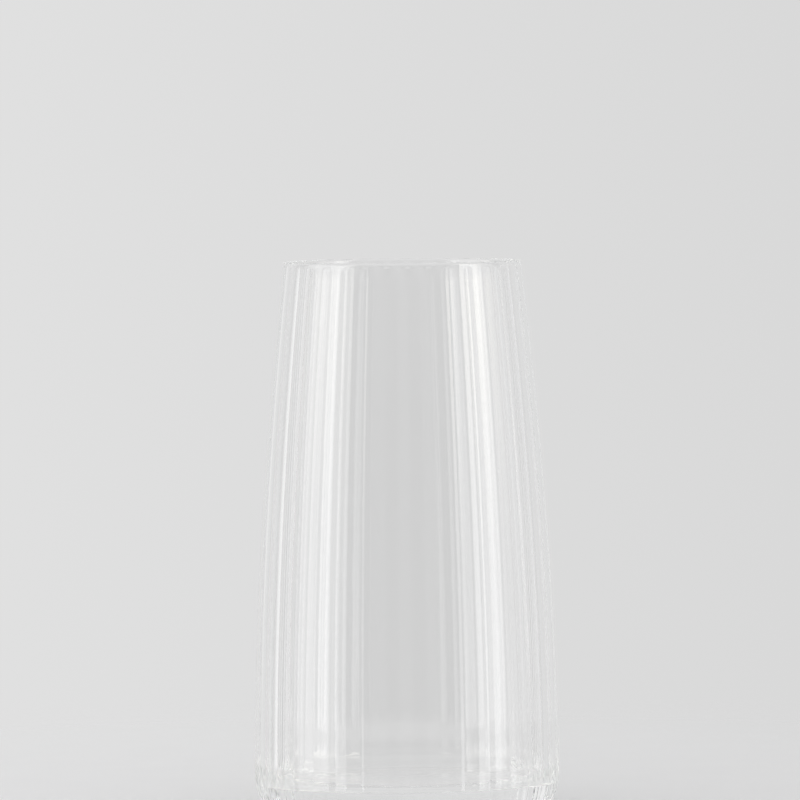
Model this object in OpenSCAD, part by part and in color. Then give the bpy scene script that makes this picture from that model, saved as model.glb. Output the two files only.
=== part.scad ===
// Tall ribbed chai glass: one piece of clear glass, blown in a ribbed mould, with no handle.
// The side keeps a full belly and draws in towards the rim. Shallow ribs run from under the lip,
// down the side and round the heel. The base is thick, and it stands on a plain flat ring.

/* [Overall] */
// Height from the table to the top of the lip
glass_h = 133; // [110:1:160]
// Outer diameter at the widest level, over the rib crests
belly_d = 73; // [68:0.5:84]
// Outer diameter at the top of the side, over the rib crests
rim_d = 57.2; // [50:0.2:64]
// How late the side draws in: 1 is a plain cone, more keeps the belly full for longer
side_bend_share = 1.8; // [1.2:0.1:2.6]

/* [Ribs] */
// Number of ribs round the glass
rib_count = 36; // [20:1:40]
// Depth of the grooves between the ribs, at the belly
rib_depth = 0.34; // [0.1:0.02:0.6]
// Height below the lip over which the ribs run out
rib_fade_h = 0.8; // [0.6:0.2:6]

/* [Wall] */
// Thickness of the wall at the lip
lip_t = 1.3; // [1:0.1:1.8]
// Thickness of the wall at the belly, over the rib crests
belly_t = 2; // [1.6:0.1:3]

/* [Base] */
// Thickness of the base, from the table to the floor inside
base_t = 8.4; // [6:0.2:12]
// Radius of the rounded corner between the floor and the wall
corner_r = 5; // [3:0.5:8]
// Height of the widest level above the table, where the heel starts to turn in
heel_h = 10.5; // [8:0.5:14]
// How far the heel draws in, from the belly to its underside
heel_in = 7; // [5:0.5:9]

/* [Foot] */
// Height of the plain foot that stands out below the ribs
foot_h = 0.8; // [0.4:0.1:1.4]
// Step in from the underside of the heel to the foot
foot_step = 0.4; // [0.2:0.1:1]
// Width of the flat ring that the glass stands on
foot_w = 3; // [2:0.5:5]
// Rise of the shallow hollow inside the flat ring
hollow_h = 1.4; // [0.6:0.1:2.4]

/* [Hidden] */

// Steps round one rib and along each stretch of the outline
rib_steps = 6;
side_steps = 8;
heel_steps = 6;
lip_steps = 3;
corner_steps = 6;
hollow_steps = 6;
// A cut reaches this far past the surface that it opens
cut_over = 1;
// Segments of the turned surfaces
turn_segments = 144;

belly_r = belly_d / 2;
rim_r = rim_d / 2;
lip_r = lip_t / 2;
// The side ends where the rounding of the lip starts
side_top_z = glass_h - lip_r;
rib_top_z = side_top_z - rib_fade_h;
heel_r = belly_r - heel_in;
foot_r = heel_r - foot_step;
hollow_r = foot_r - foot_w;
foot_edge_r = foot_h / 2;

// Radius of the side over the rib crests, at height z
function side_share(z) = max(0, z - heel_h) / (side_top_z - heel_h);
function side_r(z) = belly_r - (belly_r - rim_r) * pow(side_share(z), side_bend_share);

// The lip is rounded alike outside and inside, up to a narrow flat on its crest
lip_mid_r = rim_r - lip_r;
function lip_a(i) = 90 * i / (lip_steps + 1 / 2);
function lip_rise(i) = lip_r * sin(lip_a(i)) / sin(lip_a(lip_steps));

// Outline of the outside as [radius, height], from the table to the lip. The side has full ribs
// up to rib_top_z, and none where the lip starts
heel_line = [for (i = [0 : heel_steps - 1]) let (a = 90 * i / heel_steps)
    [heel_r + heel_in * sin(a), heel_h - heel_h * cos(a)]];
side_line = [for (i = [0 : side_steps]) let (z = heel_h + (rib_top_z - heel_h) * i / side_steps)
    [side_r(z), z]];
lip_line = [for (i = [1 : lip_steps])
    [lip_mid_r + lip_r * cos(lip_a(i)), side_top_z + lip_rise(i)]];
outer_line = concat(heel_line, side_line, [[rim_r, side_top_z]], lip_line);

// The ribs keep one share of the radius all the way up, and run out under the lip
rib_share = rib_depth / belly_r;
function rib_height_share(z) = min(1, max(0, (side_top_z - z) / rib_fade_h));
// Across one rib: 1 on its crest, 0 in the groove on either side
function rib_lobe(step) = abs(cos(180 * step / rib_steps));
function rib_scale(step, z) = 1 - rib_share * rib_height_share(z) * (1 - rib_lobe(step));

// The ribbed body as a closed solid, with its ribs in the skin
module ribbed_body() {
    columns = rib_count * rib_steps;
    rings = len(outer_line);
    points = [for (p = outer_line) for (c = [0 : columns - 1])
        let (r = p[0] * rib_scale(c, p[1]), a = 360 * c / columns)
        [r * cos(a), r * sin(a), p[1]]];
    walls = [for (k = [0 : rings - 2]) for (c = [0 : columns - 1])
        let (n = (c + 1) % columns, low = k * columns, high = low + columns)
        [low + c, high + c, high + n, low + n]];
    underside = [for (c = [0 : columns - 1]) c];
    top = [for (c = [columns - 1 : -1 : 0]) (rings - 1) * columns + c];
    polyhedron(points, concat([underside], walls, [top]), convexity = 4);
}

// The ring taken off round the foot, which leaves the plain foot standing below the ribs
module foot_shoulder() {
    edge = [for (i = [0 : lip_steps]) let (a = 90 * i / lip_steps)
        [foot_r - foot_edge_r + foot_edge_r * sin(a), foot_edge_r - foot_edge_r * cos(a)]];
    rotate_extrude($fn = turn_segments)
        polygon(concat([[foot_r - foot_edge_r, -cut_over]], edge,
            [[foot_r, foot_h], [belly_r + cut_over, foot_h], [belly_r + cut_over, -cut_over]]));
}

// Radius of the inside at height z: the wall grows from the lip down to the floor
function wall_t(z) = lip_t + (belly_t - lip_t) * (side_top_z - z) / (side_top_z - base_t);
function inside_r(z) = side_r(z) - wall_t(z);

// The inside, from the floor up past the lip, whose inner half is rounded too
module cavity() {
    corner_top_z = base_t + corner_r;
    corner_mid_r = inside_r(corner_top_z) - corner_r;
    corner = [for (i = [0 : corner_steps - 1]) let (a = 90 * i / corner_steps)
        [corner_mid_r + corner_r * sin(a), corner_top_z - corner_r * cos(a)]];
    wall = [for (i = [0 : side_steps])
        let (z = corner_top_z + (side_top_z - corner_top_z) * i / side_steps)
        [inside_r(z), z]];
    lip = [for (i = [1 : lip_steps])
        [lip_mid_r - lip_r * cos(lip_a(i)), side_top_z + lip_rise(i)]];
    mouth_r = lip_mid_r - lip_r * cos(lip_a(lip_steps));
    rotate_extrude($fn = turn_segments)
        polygon(concat([[0, base_t]], corner, wall, lip,
            [[mouth_r, glass_h + cut_over], [0, glass_h + cut_over]]));
}

// The shallow hollow under the base, a flat dome inside the standing ring
module hollow() {
    dome_r = (hollow_r * hollow_r + hollow_h * hollow_h) / (2 * hollow_h);
    dome_a = asin(hollow_r / dome_r);
    dome = [for (i = [0 : hollow_steps]) let (a = dome_a * (1 - i / hollow_steps))
        [dome_r * sin(a), hollow_h - dome_r * (1 - cos(a))]];
    rotate_extrude($fn = turn_segments)
        polygon(concat([[0, -cut_over], [hollow_r, -cut_over]], dome));
}

module glass() {
    color([0.86, 0.90, 0.90, 0.35])
        difference() {
            ribbed_body();
            foot_shoulder();
            hollow();
            cavity();
        }
}

glass();
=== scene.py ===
import math

import bpy
from mathutils import Matrix, Vector


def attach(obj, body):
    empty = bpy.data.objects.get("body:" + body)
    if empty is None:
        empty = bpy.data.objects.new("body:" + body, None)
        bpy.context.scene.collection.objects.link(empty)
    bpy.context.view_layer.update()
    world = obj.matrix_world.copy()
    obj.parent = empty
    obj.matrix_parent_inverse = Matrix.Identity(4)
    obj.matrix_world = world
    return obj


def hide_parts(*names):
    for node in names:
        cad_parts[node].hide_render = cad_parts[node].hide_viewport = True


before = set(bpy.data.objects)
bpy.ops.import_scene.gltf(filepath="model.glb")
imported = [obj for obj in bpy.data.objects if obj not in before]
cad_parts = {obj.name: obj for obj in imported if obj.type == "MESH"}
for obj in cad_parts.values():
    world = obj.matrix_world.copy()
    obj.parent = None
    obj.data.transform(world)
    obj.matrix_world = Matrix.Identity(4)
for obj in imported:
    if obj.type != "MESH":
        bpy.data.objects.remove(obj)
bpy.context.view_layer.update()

# The glass: one gather of clear glass, blown in a mould with 36 upright ribs, then cracked off
# and fire-polished at the lip. The inside is smooth, the base is thick, and the glass stands on a
# plain flat ring. Nothing is joined to it, so the whole glass is one closed skin.
MM = 0.001
GLASS_H = 133.0
BELLY_R = 36.5
RIM_R = 28.6
SIDE_BEND = 1.8
RIBS = 36
RIB_DEPTH = 0.34
RIB_FADE_H = 0.8
LIP_T = 1.3
BELLY_T = 2.0
BASE_T = 8.4
CORNER_R = 5.0
HEEL_H = 10.5
HEEL_IN = 7.0
FOOT_H = 0.8
FOOT_STEP = 0.4
FOOT_W = 3.0
FOOT_EDGE_R = 0.4
FOOT_FILLET_R = 0.25
HOLLOW_H = 1.4
# A ring of points this close to each edge of the flat ring keeps its shading flat
RING_EDGE = 0.15
# The ribs start under the heel, and are half there at this share of the way out to its curve
HALF_RIB_SHARE = 0.85

LIP_R = LIP_T / 2
SIDE_TOP_Z = GLASS_H - LIP_R
FOOT_R = BELLY_R - HEEL_IN - FOOT_STEP
HOLLOW_R = FOOT_R - FOOT_W
CORNER_TOP_Z = BASE_T + CORNER_R

# Points along each stretch of the outline, and points round one rib
HOLLOW_STEPS = 10
FOOT_STEPS = 4
HEEL_STEPS = 22
SIDE_STEPS = 44
FADE_STEPS = 4
LIP_STEPS = 12
WALL_STEPS = 34
CORNER_STEPS = 10
FLOOR_STEPS = 4
COLUMNS_PER_RIB = 16
# Points closer than this are one point, at the seam and on the axis
WELD = 0.002 * MM

GLASS_IOR = 1.5
THIN_TINT = (0.998, 0.998, 0.998, 1.0)
THICK_TINT = (0.994, 0.996, 0.996, 1.0)
TINT_HEIGHTS = (4.0 * MM, 16.0 * MM)
TINT_SHARES = (0.8, 0.2)
WAVE_SCALE = 34.0
DRAW_SCALE = (260.0, 260.0, 3.0)
DRAW_SOFTNESS = 0.02
BASE_SOFTNESS = 0.03
BASE_HEIGHTS = (9.0 * MM, 17.0 * MM)
DEPTH_COLOUR = (0.66, 0.71, 0.725, 1.0)
DEPTH_DENSITY = 0.8
SHADOW_CLEARNESS = 0.85


class Plug:
    """A node's output that can stand in plain arithmetic."""

    def __init__(self, tree, out):
        self.tree, self.out = tree, out

    def math(self, operation, *others, clamp=False):
        return self.tree.math(operation, self, *others, clamp=clamp)

    def __add__(self, other):
        return self.math("ADD", other)

    def __radd__(self, other):
        return self.tree.math("ADD", other, self)

    def __sub__(self, other):
        return self.math("SUBTRACT", other)

    def __rsub__(self, other):
        return self.tree.math("SUBTRACT", other, self)

    def __mul__(self, other):
        return self.math("MULTIPLY", other)

    def __rmul__(self, other):
        return self.tree.math("MULTIPLY", other, self)

    def __truediv__(self, other):
        return self.math("DIVIDE", other)

    def __rtruediv__(self, other):
        return self.tree.math("DIVIDE", other, self)

    def __abs__(self):
        return self.math("ABSOLUTE")

    def clamped(self):
        return self.math("ADD", 0.0, clamp=True)

    def kept_within(self, reach):
        return self.math("MAXIMUM", -reach).math("MINIMUM", reach)

    def rises(self, start, end):
        """0 before start and 1 after end, with a smooth passage between them."""
        t = ((self - start) / (end - start)).clamped()
        return t * t * (3.0 - 2.0 * t)

    def part(self, axis):
        """One axis of a vector."""
        return self.tree.node("ShaderNodeSeparateXYZ", None, {0: self}, out=axis)


class Tree:
    """A node tree in which any node is one call: its type, its settings and its sockets."""

    def __init__(self, tree):
        self.tree = tree

    def node(self, kind, settings=None, sockets=None, out=0):
        made = self.tree.nodes.new(kind)
        for name, value in (settings or {}).items():
            setattr(made, name, value)
        for key, value in (sockets or {}).items():
            self.join(value, made.inputs[key])
        return Plug(self, made.outputs[out]) if made.outputs else made

    def join(self, value, socket):
        if isinstance(value, Plug):
            self.tree.links.new(value.out, socket)
        else:
            socket.default_value = value

    def math(self, operation, *values, clamp=False):
        settings = {"operation": operation, "use_clamp": clamp}
        return self.node("ShaderNodeMath", settings, dict(enumerate(values)))

    def colour(self, red, green, blue):
        return self.node("ShaderNodeCombineColor", None, {0: red, 1: green, 2: blue})

    def mixed(self, share, first, second):
        """The first colour where the share is 0, and the second where it is 1."""
        colours = {0: share, 6: first, 7: second}
        return self.node("ShaderNodeMix", {"data_type": "RGBA"}, colours, out=2)


def side_r(z):
    """Radius of the side over the rib crests, at height z."""
    share = max(0.0, z - HEEL_H) / (SIDE_TOP_Z - HEEL_H)
    return BELLY_R - (BELLY_R - RIM_R) * share**SIDE_BEND


def inside_r(z):
    """Radius of the inside: the wall grows from the lip down to the floor."""
    share = (SIDE_TOP_Z - z) / (SIDE_TOP_Z - BASE_T)
    return side_r(z) - LIP_T - (BELLY_T - LIP_T) * share


def arc(mid_r, mid_z, radius, start, end, steps):
    """Points on a part of a circle; 0 degrees points away from the axis and 90 up."""
    turns = [math.radians(start + (end - start) * i / steps) for i in range(steps + 1)]
    return [(mid_r + radius * math.cos(a), mid_z + radius * math.sin(a)) for a in turns]


def smooth(points):
    """Points of a stretch without ribs."""
    return [(r, z, 0.0) for r, z in points]


def glass_outline():
    """The outline as (radius, height, how far the ribs show), from under the base to the inside."""
    line = []
    # The hollow, a flat dome, and the ring that the glass stands on
    dome_r = (HOLLOW_R**2 + HOLLOW_H**2) / (2 * HOLLOW_H)
    dome_a = math.asin(HOLLOW_R / dome_r)
    for i in range(HOLLOW_STEPS + 1):
        a = dome_a * i / HOLLOW_STEPS
        line.append((dome_r * math.sin(a), HOLLOW_H - dome_r * (1 - math.cos(a)), 0.0))
    foot_mid_r = FOOT_R - FOOT_EDGE_R
    line += smooth([(HOLLOW_R + RING_EDGE, 0.0), (foot_mid_r - RING_EDGE, 0.0)])
    # The plain foot, with a rounded edge below and a small fillet under the heel
    line += smooth(arc(foot_mid_r, FOOT_EDGE_R, FOOT_EDGE_R, -90, 0, FOOT_STEPS))
    fillet_mid_r, fillet_mid_z = FOOT_R + FOOT_FILLET_R, FOOT_H - FOOT_FILLET_R
    line += smooth(arc(fillet_mid_r, fillet_mid_z, FOOT_FILLET_R, 180, 90, FOOT_STEPS))
    # The heel, from where it leaves the foot up to the belly
    heel_r = BELLY_R - HEEL_IN
    heel_a = math.acos(1 - FOOT_H / HEEL_H)
    line.append((heel_r + HALF_RIB_SHARE * HEEL_IN * math.sin(heel_a), FOOT_H, 0.5))
    for i in range(HEEL_STEPS + 1):
        a = heel_a + (math.pi / 2 - heel_a) * i / HEEL_STEPS
        line.append((heel_r + HEEL_IN * math.sin(a), HEEL_H - HEEL_H * math.cos(a), 1.0))
    # The side, whose ribs run out just under the rounded lip
    for i in range(1, SIDE_STEPS + 1):
        z = HEEL_H + (SIDE_TOP_Z - RIB_FADE_H - HEEL_H) * i / SIDE_STEPS
        line.append((side_r(z), z, 1.0))
    for i in range(1, FADE_STEPS + 1):
        left = 1 - i / FADE_STEPS
        z = SIDE_TOP_Z - RIB_FADE_H * left
        line.append((side_r(z), z, left))
    line += smooth(arc(RIM_R - LIP_R, SIDE_TOP_Z, LIP_R, 0, 180, LIP_STEPS)[1:])
    # The inside: the wall down to the corner, the corner, and the floor in to the axis
    for i in range(1, WALL_STEPS + 1):
        z = SIDE_TOP_Z + (CORNER_TOP_Z - SIDE_TOP_Z) * i / WALL_STEPS
        line.append((inside_r(z), z, 0.0))
    corner_mid_r = inside_r(CORNER_TOP_Z) - CORNER_R
    line += smooth(arc(corner_mid_r, CORNER_TOP_Z, CORNER_R, 0, -90, CORNER_STEPS)[1:])
    for i in range(1, FLOOR_STEPS + 1):
        line.append((corner_mid_r * (1 - i / FLOOR_STEPS), BASE_T, 0.0))
    return line


def new_material(name):
    """A material, its node tree and its shader."""
    material = bpy.data.materials.new(name)
    material.use_nodes = True
    return material, Tree(material.node_tree), material.node_tree.nodes["Principled BSDF"]


def clear_glass():
    """Clear soda glass: faintly cool where it is thick, with fine upright draw lines."""
    material, tree, shader = new_material("clear glass")
    shader.inputs["Transmission Weight"].default_value = 1.0
    shader.inputs["IOR"].default_value = GLASS_IOR
    place = tree.node("ShaderNodeTexCoord", out="Object")
    height = place.part("Z")
    # The melt is a little uneven, and drawing it out leaves lines that run up the side
    melt = {"Vector": place, "Scale": WAVE_SCALE, "Detail": 1.0}
    waves = tree.node("ShaderNodeTexNoise", None, melt)
    drawn_out = tree.node("ShaderNodeMapping", None, {0: place, "Scale": DRAW_SCALE})
    drawing = {"Vector": drawn_out, "Scale": 1.0, "Detail": 2.0}
    draw_lines = tree.node("ShaderNodeTexNoise", None, drawing)
    thick = 1.0 - height.rises(*TINT_HEIGHTS)
    tinted = (thick * TINT_SHARES[0] + waves * TINT_SHARES[1]).clamped()
    tree.join(tree.mixed(tinted, THIN_TINT, THICK_TINT), shader.inputs["Base Color"])
    # The mould leaves the thick base a touch softer than the side
    soft = (1.0 - height.rises(*BASE_HEIGHTS)) * BASE_SOFTNESS
    softness = (draw_lines - 0.5).clamped() * DRAW_SOFTNESS + soft
    tree.join(softness, shader.inputs["Roughness"])
    # Long ways through the glass, along the wall or round the base, come out faintly cool
    depth = {"Color": DEPTH_COLOUR, "Density": DEPTH_DENSITY}
    absorbed = tree.node("ShaderNodeVolumeAbsorption", None, depth)
    tree.join(absorbed, material.node_tree.nodes["Material Output"].inputs["Volume"])
    # Light falls through the glass, so that its shadow stays faint
    shadow = tree.node("ShaderNodeLightPath", out="Is Shadow Ray")
    tree.join(1.0 - shadow * SHADOW_CLEARNESS, shader.inputs["Alpha"])
    return material


def ribbed_skin():
    """The tree that turns an outline round the axis and presses the ribs into it."""
    group = bpy.data.node_groups.new("ribbed skin", "GeometryNodeTree")
    tree = Tree(group)

    def given(name, kind):
        group.interface.new_socket(name, in_out="INPUT", socket_type=kind)
        return tree.node("NodeGroupInput", out=name)

    outline = given("Outline", "NodeSocketGeometry")
    ribs = given("Ribs", "NodeSocketInt")
    per_rib = given("Columns per rib", "NodeSocketInt")
    groove = given("Groove share", "NodeSocketFloat")
    weld = given("Weld", "NodeSocketFloat")
    material = given("Material", "NodeSocketMaterial")
    group.interface.new_socket("Skin", in_out="OUTPUT", socket_type="NodeSocketGeometry")

    # A grid with one column for each step round the glass and one row for each outline point
    columns = ribs * per_rib
    rings = tree.node("GeometryNodeAttributeDomainSize", None, {"Geometry": outline})
    lattice = {"Vertices X": columns + 1, "Vertices Y": rings}
    grid = tree.node("GeometryNodeMeshGrid", None, lattice)
    index = tree.node("GeometryNodeInputIndex")
    ring = index.math("FLOORED_MODULO", rings)
    turn = (index / rings).math("FLOOR") / columns * math.tau

    def from_outline(value, kind):
        sampled = {"Geometry": outline, "Value": value, "Index": ring}
        return tree.node("GeometryNodeSampleIndex", {"data_type": kind}, sampled)

    point = from_outline(tree.node("GeometryNodeInputPosition"), "FLOAT_VECTOR")
    marked = {"Name": "ribs shown"}
    mark = tree.node("GeometryNodeInputNamedAttribute", {"data_type": "FLOAT"}, marked)
    shown = from_outline(mark, "FLOAT")
    # Across one rib the lobe is 1 on its crest and 0 in the groove on either side
    lobe = abs((turn * ribs / 2.0).math("COSINE"))
    radius = point.part("X") * (1.0 - groove * shown * (1.0 - lobe))
    round_x, round_y = radius * turn.math("COSINE"), radius * turn.math("SINE")
    spot = tree.node("ShaderNodeCombineXYZ", None, {0: round_x, 1: round_y, 2: point.part("Z")})
    skin = tree.node("GeometryNodeSetPosition", None, {"Geometry": grid, "Position": spot})
    closed = tree.node("GeometryNodeMergeByDistance", None, {"Geometry": skin, "Distance": weld})
    rounded = tree.node("GeometryNodeSetShadeSmooth", None, {"Geometry": closed})
    real = tree.node("GeometryNodeRealizeInstances", None, {"Geometry": rounded})
    dressed = {"Geometry": real, "Material": material}
    finished = tree.node("GeometryNodeSetMaterial", None, dressed)
    tree.node("NodeGroupOutput", None, {"Skin": finished})
    return group


def made_by(group, name, mesh, values):
    """Runs a node tree over a mesh and keeps the result as a plain object at the origin."""
    collection = bpy.context.scene.collection
    seed = bpy.data.objects.new(name + " seed", mesh)
    collection.objects.link(seed)
    modifier = seed.modifiers.new("made", "NODES")
    modifier.node_group = group
    for item in group.interface.items_tree:
        if item.name in values:
            modifier[item.identifier] = values[item.name]
    graph = bpy.context.evaluated_depsgraph_get()
    made = bpy.data.meshes.new_from_object(seed.evaluated_get(graph), depsgraph=graph)
    seed.modifiers.remove(modifier)
    bpy.data.objects.remove(seed)
    piece = bpy.data.objects.new(name, made)
    collection.objects.link(piece)
    return piece


outline_points = glass_outline()
outline_mesh = bpy.data.meshes.new("glass outline")
outline_mesh.from_pydata(
    [(r * MM, 0.0, z * MM) for r, z, shown in outline_points],
    [(i, i + 1) for i in range(len(outline_points) - 1)],
    [],
)
ribs_shown = outline_mesh.attributes.new("ribs shown", "FLOAT", "POINT")
ribs_shown.data.foreach_set("value", [shown for r, z, shown in outline_points])
glass = made_by(
    ribbed_skin(),
    "ribbed_glass",
    outline_mesh,
    {
        "Ribs": RIBS,
        "Columns per rib": COLUMNS_PER_RIB,
        "Groove share": RIB_DEPTH / BELLY_R,
        "Weld": WELD,
        "Material": clear_glass(),
    },
)
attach(glass, "root")
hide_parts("glass")

# The table: a pale matt sheet that runs out into the backdrop. Only the part round the glass
# is there, and it thins out to nothing before its edge. It lies a hair below the foot, so that
# the two faces don't share one plane.
TABLE_R = 360.0 * MM
TABLE_SIDES = 96
TABLE_FADE = (150.0 * MM, 340.0 * MM)
TABLE_DROP = 0.05 * MM
SHEET_TONE = 0.789
SHEET_BLUE = 1.004
# How much lighter the sheet's colour is painted towards the left, as painted light
SHEET_PAINTED_LIGHT_FALL = 0.24
SHEET_REACH = 0.11
SHEET_ROUGHNESS = 0.9
GRAIN_TONE = 0.02
GRAIN_SCALE = 60.0

bpy.ops.mesh.primitive_circle_add(
    vertices=TABLE_SIDES, radius=TABLE_R, fill_type="NGON", location=(0.0, 0.0, -TABLE_DROP)
)
table = bpy.context.object
table.name = "table"
sheet_material, sheet, sheet_shader = new_material("pale matt sheet")
sheet_shader.inputs["Specular IOR Level"].default_value = 0.0
sheet_shader.inputs["Roughness"].default_value = SHEET_ROUGHNESS
sheet_place = sheet.node("ShaderNodeTexCoord", out="Object")
from_glass = sheet.node(
    "ShaderNodeVectorMath", {"operation": "LENGTH"}, {0: sheet_place}, out="Value"
)
fibres = {"Vector": sheet_place, "Scale": GRAIN_SCALE, "Detail": 3.0}
grain = sheet.node("ShaderNodeTexNoise", None, fibres)
# Painted light: the sheet's colour is a little lighter on the left, standing in for more light
# falling there, like the backdrop
painted_light_across = sheet_place.part("X").kept_within(SHEET_REACH)
tone = SHEET_TONE + grain * GRAIN_TONE - painted_light_across * SHEET_PAINTED_LIGHT_FALL
sheet.join(sheet.colour(tone, tone, tone * SHEET_BLUE), sheet_shader.inputs["Base Color"])
sheet.join(1.0 - from_glass.rises(*TABLE_FADE), sheet_shader.inputs["Alpha"])
table.data.materials.append(sheet_material)
table.visible_transmission = False
table.visible_glossy = False

# The studio: a pale backdrop behind, and a dim room in front of the glass between two tall
# softboxes. Beyond each box stands a dark flag, and beyond the left flag a narrow pale strip, as
# the glass shows them. Directions are in degrees from the camera, to the right.
SHOT_TURN = 2.5
BACKDROP = 0.72
BACKDROP_FALL = 0.46
BACKDROP_REACH = 0.065
STRIP = (-140.0, -127.0)
LEFT_FLAG = (-119.0, -107.0)
LEFT_BOX = (-102.0, -50.0)
RIGHT_BOX = (58.0, 94.0)
RIGHT_FLAG = (98.0, 112.0)
EDGE_SOFT = 1.2
# What stands round the glass begins and ends at these heights, in degrees above the level
STAND_FROM = (-18.0, -11.0)
STAND_TO = (30.0, 55.0)
ROOM_FRONT = 0.14
ROOM_FALL = 0.1
ROOM_BELOW = 0.74
BELOW_HEIGHTS = (-50.0, -26.0)
FLAG_SHINE = 0.3
STRIP_SHINE = 0.87
# A box's light at its edge towards the camera and beyond, and how far in it changes
LEFT_SHINE = (1.9, 1.5)
RIGHT_SHINE = (2.35, 0.9)
BOX_GLOW = (14.0, 26.0)
# High up the boxes are stronger, and warmer by this share less of green and of blue
HIGH_HEIGHTS = (0.0, 11.0)
LEFT_HIGH = 0.35
RIGHT_HIGH = 0.6
HIGH_WARMTH = (0.02, 0.09)
LEFT_WARM_SHARE = 0.5

world = bpy.data.worlds.new("studio")
bpy.context.scene.world = world
world.use_nodes = True
room = Tree(world.node_tree)
toward = room.node("ShaderNodeTexCoord", out="Generated")
to_x, to_y, to_z = toward.part("X"), toward.part("Y"), toward.part("Z")
turn_round = to_x.math("ARCTAN2", to_y * -1.0) * math.degrees(1.0) - SHOT_TURN
turn_up = to_z.math("ARCSINE") * math.degrees(1.0)

# The backdrop is a little lighter on the left, as the picture shows it
aside = to_x * math.cos(math.radians(SHOT_TURN)) + to_y * math.sin(math.radians(SHOT_TURN))
aside = aside.kept_within(BACKDROP_REACH)
backdrop = BACKDROP - BACKDROP_FALL * aside
below = 1.0 - turn_up.rises(*BELOW_HEIGHTS)
walls = BACKDROP - aside * ROOM_FALL + (ROOM_BELOW - BACKDROP) * below
stands = turn_up.rises(*STAND_FROM) * (1.0 - turn_up.rises(*STAND_TO))
high = turn_up.rises(*HIGH_HEIGHTS)


def between(start, end):
    """1 in the directions from start to end, with soft edges."""
    begun = turn_round.rises(start - EDGE_SOFT, start + EDGE_SOFT)
    ended = turn_round.rises(end - EDGE_SOFT, end + EDGE_SOFT)
    return begun * (1.0 - ended)


def box_light(edge, shine, more, way):
    """The light of a box: shine at its edge towards the camera and beyond, and more high up."""
    glow = ((turn_round - edge) * way).rises(*BOX_GLOW)
    return (shine[0] + (shine[1] - shine[0]) * glow) * (1.0 + more * high)


def over_walls(where, shine):
    """What a thing that stands there adds to the light of the walls."""
    return where * (shine - walls)


in_left_box, in_right_box = between(*LEFT_BOX), between(*RIGHT_BOX)
shine = walls + stands * (
    over_walls(between(*LEFT_FLAG) + between(*RIGHT_FLAG), FLAG_SHINE)
    + over_walls(between(*STRIP), STRIP_SHINE)
    + over_walls(between(LEFT_BOX[1], RIGHT_BOX[0]), ROOM_FRONT)
    + over_walls(in_left_box, box_light(LEFT_BOX[1], LEFT_SHINE, LEFT_HIGH, -1))
    + over_walls(in_right_box, box_light(RIGHT_BOX[0], RIGHT_SHINE, RIGHT_HIGH, 1))
)
warm = (in_left_box * LEFT_WARM_SHARE + in_right_box) * high
green, blue = [shine * (1.0 - share * warm) for share in HIGH_WARMTH]
# Only the glass shows the room: the camera and the table see the plain backdrop
mirrored = room.node("ShaderNodeLightPath", out="Is Glossy Ray")
through = room.node("ShaderNodeLightPath", out="Is Transmission Ray")
in_glass = (mirrored + through).clamped()
plain = room.colour(backdrop, backdrop, backdrop)
seen = room.mixed(in_glass, plain, room.colour(shine, green, blue))
room.join(seen, world.node_tree.nodes["Background"].inputs["Color"])

# A wide soft light overhead evens out the table
OVERHEAD_PLACE = (0.0, 0.15, 1.1)
OVERHEAD_W = 1.2
OVERHEAD_ENERGY = 3.1

bpy.ops.object.light_add(type="AREA", location=OVERHEAD_PLACE)
overhead = bpy.context.object
overhead.data.size = OVERHEAD_W
overhead.data.energy = OVERHEAD_ENERGY
overhead.visible_glossy = False
overhead.visible_transmission = False

# The camera: a long lens a little above the rim, looking slightly down, with the picture rolled
# by half a degree as in the photograph.
CAMERA_AWAY = 1.7
SENSOR_W = 36.0
SIGHT = 30.0
PICTURE_W = 191.4 * MM
RIM_LOOK = 1.22
AIM_Z = 99.7 * MM
AIM_LEFT = 0.8 * MM
ROLL = 0.55
# Light has to pass many walls of glass before the bright sides of the room are reached
LIGHT_BOUNCES = 400
CLEAR_LAYERS = 16

scene = bpy.context.scene
camera_data = bpy.data.cameras.new("long lens")
camera_data.sensor_width = SENSOR_W
camera_data.clip_end = SIGHT
camera = bpy.data.objects.new("camera", camera_data)
scene.collection.objects.link(camera)
scene.camera = camera
shot = Matrix.Rotation(math.radians(SHOT_TURN), 4, "Z")
eye_z = GLASS_H * MM + CAMERA_AWAY * math.tan(math.radians(RIM_LOOK))
eye = shot @ Vector((-AIM_LEFT, -CAMERA_AWAY, eye_z))
aim = shot @ Vector((-AIM_LEFT, 0.0, AIM_Z))
look = (aim - eye).to_track_quat("-Z", "Y").to_matrix().to_4x4()
roll = Matrix.Rotation(math.radians(-ROLL), 4, "Z")
camera.matrix_world = Matrix.Translation(eye) @ look @ roll
camera_data.lens = SENSOR_W * (aim - eye).length / PICTURE_W

scene.cycles.max_bounces = LIGHT_BOUNCES
scene.cycles.glossy_bounces = LIGHT_BOUNCES
scene.cycles.transmission_bounces = LIGHT_BOUNCES
scene.cycles.transparent_max_bounces = CLEAR_LAYERS
scene.view_settings.view_transform = "Standard"
